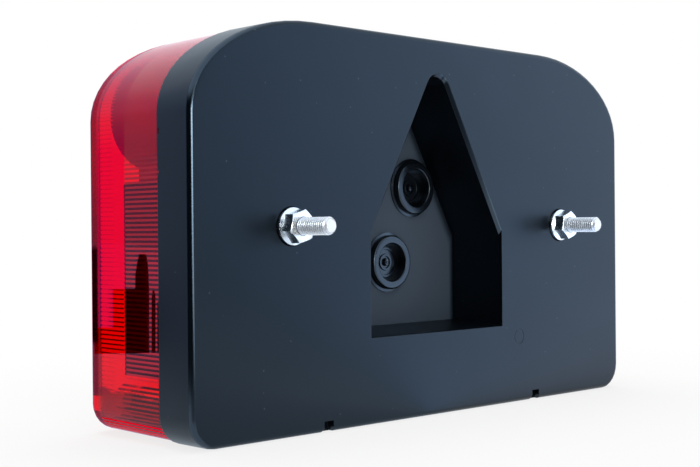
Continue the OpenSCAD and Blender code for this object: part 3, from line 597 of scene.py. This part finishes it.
# The nuts' CAD meshes have edges down to 0.0025 mm, so Blender clamps this bevel to no width: it rounds
# nothing. Its empty faces still change how the nuts are shaded, so it stays.
NUT_BEVEL = 0.14 * MM
BEVELS = {"flange_nut_left": NUT_BEVEL, "flange_nut_right": NUT_BEVEL}
NODE_MATERIALS = {"reflex_reflector": reflex_prisms()}
SLOT_OF = {s["node"]: s["material_slot"] for s in frame["record"]["subparts"]}
for node_name, cad_node in frame["nodes"].items():
    cad_node.data.materials.clear()
    cad_node.data.materials.append(NODE_MATERIALS.get(node_name) or MATERIALS[SLOT_OF[node_name]])
    soften(cad_node, NODE_ANGLE, BEVELS.get(node_name, 0.0))


def link(thing):
    bpy.context.scene.collection.objects.link(thing)
    return thing


def mesh_piece(name, points, faces, material):
    mesh = bpy.data.meshes.new(name)
    mesh.from_pydata(points, [], faces)
    mesh.update()
    mesh.materials.append(material)
    return link(bpy.data.objects.new(name, mesh))


def carried(piece, slot, *nodes):
    """Fixes a piece to the body and lets it stand for its CAD nodes. The slot is not used."""
    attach(piece, "root")
    if nodes:
        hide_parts(*nodes)
    return piece


def thread_rows(start, tip):
    """Profile points along one thread line: place in turns, and radius."""
    shape = [(0.0, THREAD_ROOT), (0.14, THREAD_ROOT), (0.44, THREAD_R), (0.58, THREAD_R), (0.88, THREAD_ROOT)]
    turns = int(math.ceil((tip - start) / THREAD_PITCH)) + 1
    return [(turn + share, radius) for turn in range(-1, turns) for share, radius in shape]


def threaded_stud(name, node):
    """Hexagon-head bolt with a real helical thread from the nut's outer face to its chamfered tip."""
    low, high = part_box(node)
    x = (low.x + high.x) / 2
    head, tip = low.y, high.y
    start = -0.25 * MM
    tip_r = THREAD_R - TIP_BEVEL
    steps = THREAD_STEPS
    points, faces = [], []

    def ring(y, radius, sides):
        first = len(points)
        for k in range(sides):
            a = 2 * math.pi * k / sides
            points.append((x + radius * math.cos(a), y, radius * math.sin(a)))
        return first

    def band(a, b, sides):
        for k in range(sides):
            j = (k + 1) % sides
            faces.append((a + k, b + k, b + j, a + j))

    # Head
    rings = [
        ring(head, HEAD_R - HEAD_BEVEL, 6),
        ring(head + HEAD_BEVEL, HEAD_R, 6),
        ring(head + HEAD_H, HEAD_R, 6),
    ]
    faces.append(tuple(rings[0] + k for k in range(6)))
    band(rings[0], rings[1], 6)
    band(rings[1], rings[2], 6)
    faces.append(tuple(rings[2] + k for k in range(5, -1, -1)))
    # Shank
    foot = ring(head + HEAD_H - 0.1 * MM, SHANK_R, steps)
    top = ring(start, SHANK_R, steps)
    faces.append(tuple(foot + k for k in range(steps)))
    band(foot, top, steps)
    # Thread: each row of points follows the helix, and stops at the start and at the tip
    rows = thread_rows(start, tip)
    columns = []
    for k in range(steps + 1):
        column = []
        for offset, radius in rows:
            y = start + (offset + k / steps) * THREAD_PITCH
            limit = min(THREAD_R, tip_r + (tip - y))
            if y <= start:
                y, radius = start, SHANK_R
            if y >= tip:
                y, radius = tip, tip_r
            column.append((y, min(radius, limit) if y < tip else radius))
        columns.append(column)
    base = len(points)
    count = len(rows)
    for k in range(steps + 1):
        a = 2 * math.pi * k / steps
        for y, radius in columns[k]:
            points.append((x + radius * math.cos(a), y, radius * math.sin(a)))
    for k in range(steps):
        here, there = columns[k], columns[k + 1]
        for i in range(count - 1):
            p = base + k * count + i
            if here[i][0] < here[i + 1][0] or there[i][0] < there[i + 1][0]:
                faces.append((p, p + 1, p + count + 1, p + count))
    # Flat end of the tip
    end = ring(tip, tip_r, steps)
    faces.append(tuple(end + k for k in range(steps - 1, -1, -1)))
    piece = mesh_piece(name, points, faces, MATERIALS["zinc"])
    soften(piece, THREAD_ANGLE)
    carried(piece, "zinc", node)


threaded_stud("threaded_stud_left", "stud_bolt_left")
threaded_stud("threaded_stud_right", "stud_bolt_right")


def aim(thing, place, back, roll=0.0):
    """Puts a camera or a lamp at a place and turns its back to this direction."""
    turn = Quaternion((0, 0, 1), math.radians(roll))
    thing.location = place
    thing.rotation_mode = "QUATERNION"
    thing.rotation_quaternion = back.to_track_quat("Z", "Y") @ turn


def camera():
    """The camera looks back along its azimuth, which is counted as the other views count theirs."""
    data = bpy.data.cameras.new("camera")
    data.lens = CAMERA_LENS
    data.sensor_width = 36.0
    data.clip_start = 0.01
    data.clip_end = 100.0
    thing = link(bpy.data.objects.new("camera", data))
    a = math.radians(CAMERA_AZIMUTH)
    e = math.radians(CAMERA_PITCH)
    back = Vector((math.sin(a) * math.cos(e), -math.cos(a) * math.cos(e), math.sin(e)))
    aim(thing, CAMERA_PLACE, back, CAMERA_ROLL)
    bpy.context.scene.camera = thing


# What gloss mirrors at each azimuth from +X towards +Y: degrees, colour and strength.
# A ramp's colours end at 1, so they are divided by GLOSS_TOP there and multiplied after it.
GLOSS_TOP = 4.0
GLOSS_ROUND = [
    (-180.0, (0.9, 0.95, 1.0), 0.8),
    (-110.0, (0.85, 0.93, 1.0), 0.8),
    (-75.0, (0.55, 0.7, 1.0), 0.68),
    (-42.0, (0.55, 0.7, 1.0), 0.68),
    (-30.0, (0.55, 0.75, 1.0), 0.028),
    (104.0, (0.55, 0.75, 1.0), 0.028),
    (120.0, (0.6, 0.82, 1.12), 0.45),
    (136.0, (0.62, 0.82, 1.1), 2.2),
    (146.0, (0.62, 0.82, 1.1), 1.65),
    (163.0, (0.75, 0.86, 1.05), 1.6),
    (180.0, (0.9, 0.95, 1.0), 0.8),
]
# The studio's soft box: azimuths where it starts and ends, each with the end of its soft edge
BOX_EDGES = [(67.0, 76.0), (104.0, 96.0)]
BOX_COLOUR = (0.84, 0.94, 1.0)


def gloss_round(t, x, y, box):
    """The colour that gloss mirrors in the level direction x, y, where the soft box has the strength box."""
    turn = t.math("ARCTAN2", y, x)
    share = t.ramp(turn, -math.pi, math.pi, smooth=False)
    ramp = t.add("ShaderNodeValToRGB", {0: share})
    stops = ramp.color_ramp.elements
    stops.remove(stops[0])
    for index, (azimuth, colour, strength) in enumerate(GLOSS_ROUND):
        position = (azimuth + 180.0) / 360.0
        stop = stops[0] if index == 0 else stops.new(position)
        stop.position = position
        stop.color = [c * strength / GLOSS_TOP for c in colour] + [1.0]
    around = t.scaled(ramp.outputs[0], GLOSS_TOP)
    edges = [t.ramp(turn, math.radians(out), math.radians(full)) for out, full in BOX_EDGES]
    lit = t.scaled(BOX_COLOUR, t.times(*edges, box))
    return t.vector("ADD", around, lit)


# The floor: half its side, and a level direction on the camera's side of the object
FLOOR_HALF = 6.0
CAMERA_SIDE = (0.62, 0.78, 0.0)


def floor():
    """A pale floor that fades to the white background and keeps the object's shadow."""
    size = FLOOR_HALF
    z = FLOOR_Z - 0.2 * MM
    points = [(-size, -size, z), (size, -size, z), (size, size, z), (-size, size, z)]
    material, t = new_material("floor_paper")
    x, y = t.split(t.place())[:2]
    far = t.vector("LENGTH", t.place())
    share = t.ramp(far, 0.13, 0.34, 0.8, 1.0)
    paper = t.add("ShaderNodeBsdfDiffuse", {"Color": (0.82, 0.82, 0.82, 1.0)}).outputs[0]
    box = t.ramp(far, 0.3, 3.0, 1.8, 4.5, smooth=False)
    # Close by, paper that the object's back and ends mirror, but less of it on the camera's side
    ahead = t.math("DIVIDE", t.vector("DOT_PRODUCT", t.place(), CAMERA_SIDE), far)
    ahead = t.times(t.ramp(ahead, 0.6, 0.85), t.ramp(far, 0.12, 0.16))
    white = t.times(t.ramp(far, 0.2, 0.32, 1.0, 0.0), t.mix_value(ahead, 1.0, 0.35))
    near = t.scaled((0.75, 0.86, 0.98), white)
    colour = t.vector("MAXIMUM", t.scaled(gloss_round(t, x, y, box), 1.25), near)
    both = t.blend(t.times(share, t.plainly_seen()), paper, t.emission(WHITE))
    t.finish(t.blend(t.gloss_only(), both, t.emission(colour)))
    thing = mesh_piece("floor", points, [(0, 1, 2, 3)], material)


def studio():
    """White background. What gloss mirrors is a studio with a soft box, and dark behind the camera."""
    world = bpy.data.worlds.new("studio")
    world.use_nodes = True
    bpy.context.scene.world = world
    t = Tree(world.node_tree)
    x, y, z = t.split(t.add("ShaderNodeTexCoord").outputs["Generated"])
    box = t.ramp(z, 0.0, 0.09, 4.4, 12.0, smooth=False)
    box = t.times(box, t.ramp(z, 0.13, 0.2, 1.0, 0.08))
    rising = t.scaled(gloss_round(t, x, y, box), t.ramp(z, 0.02, 0.25, 1.0, 1.5))
    round_gloss = t.mix_colour(t.ramp(z, 0.3, 0.6), rising, (1.0, 1.18, 1.38, 1.0))
    lit = t.mix_colour(t.gloss_only(), (0.3, 0.3, 0.3, 1.0), round_gloss)
    colour = t.mix_colour(t.plainly_seen(), lit, WHITE)
    background = t.add("ShaderNodeBackground", {"Color": colour, "Strength": 1.0})
    t.add("ShaderNodeOutputWorld", {"Surface": background.outputs[0]})


def soft_box(name, place, side, power):
    """A square lamp that shines on the object and does not show in its gloss."""
    data = bpy.data.lights.new(name, "AREA")
    data.shape = "RECTANGLE"
    data.size = data.size_y = side
    data.energy = power
    thing = link(bpy.data.objects.new(name, data))
    aim(thing, place, Vector(place))
    thing.visible_glossy = False


# Dark studio gear close beside the lens, which only gloss and clear parts show.
# Each shape is drawn on an upright card, in millimetres to the left and up, times CARD_SCALE.
CARD_PLACE = (141.7 * MM, -81.7 * MM)
CARD_FOOT = 24.2 * MM
CARD_SCALE = 0.65 * MM
CARD_AZIMUTH = -57.17
CARDS = {
    "gear_bottle": [
        (5.3, 56.5),
        (9.2, 56.4),
        (10.0, 51.9),
        (10.5, 44.5),
        (10.7, 36.0),
        (2.8, 36.0),
        (2.9, 44.6),
        (4.1, 51.9),
    ],
    "gear_block": [(-10.0, 36.8), (10.7, 36.5), (10.4, 0.0), (-10.3, 0.0)],
    "gear_foot": [(-22.4, 15.0), (-10.2, 14.8), (-10.3, 0.0), (-22.5, 0.0)],
    "gear_bar_one": [(12.7, 35.9), (13.7, 35.9), (14.3, 31.3), (14.0, 0.0), (11.8, 0.0), (12.1, 31.4)],
    "gear_bar_two": [(15.3, 28.5), (16.8, 31.8), (16.6, 0.0), (15.1, 0.0)],
}


def gear_cards():
    material, t = new_material("gear_black")
    speckle = t.noise(300.0, 2.0)
    dark = t.mix_colour(speckle, (0.06, 0.001, 0.003, 1.0), (0.09, 0.001, 0.005, 1.0))
    t.finish(t.add("ShaderNodeBsdfDiffuse", {"Color": dark}).outputs[0])
    a = math.radians(CARD_AZIMUTH)
    for name, outline in CARDS.items():
        points = [
            (
                CARD_PLACE[0] - math.sin(a) * left * CARD_SCALE,
                CARD_PLACE[1] + math.cos(a) * left * CARD_SCALE,
                FLOOR_Z + CARD_FOOT + up * CARD_SCALE,
            )
            for left, up in outline
        ]
        card = mesh_piece(name, points, [tuple(range(len(points)))], material)
        card.visible_camera = False
        card.visible_diffuse = False
        card.visible_shadow = False


camera()
floor()
gear_cards()
studio()
soft_box("key", (0.5, 0.9, 0.7), 0.8, 4.0)
soft_box("top", (-0.1, -0.2, 1.1), 1.0, 12.0)

scene = bpy.context.scene
scene.view_settings.view_transform = "Standard"
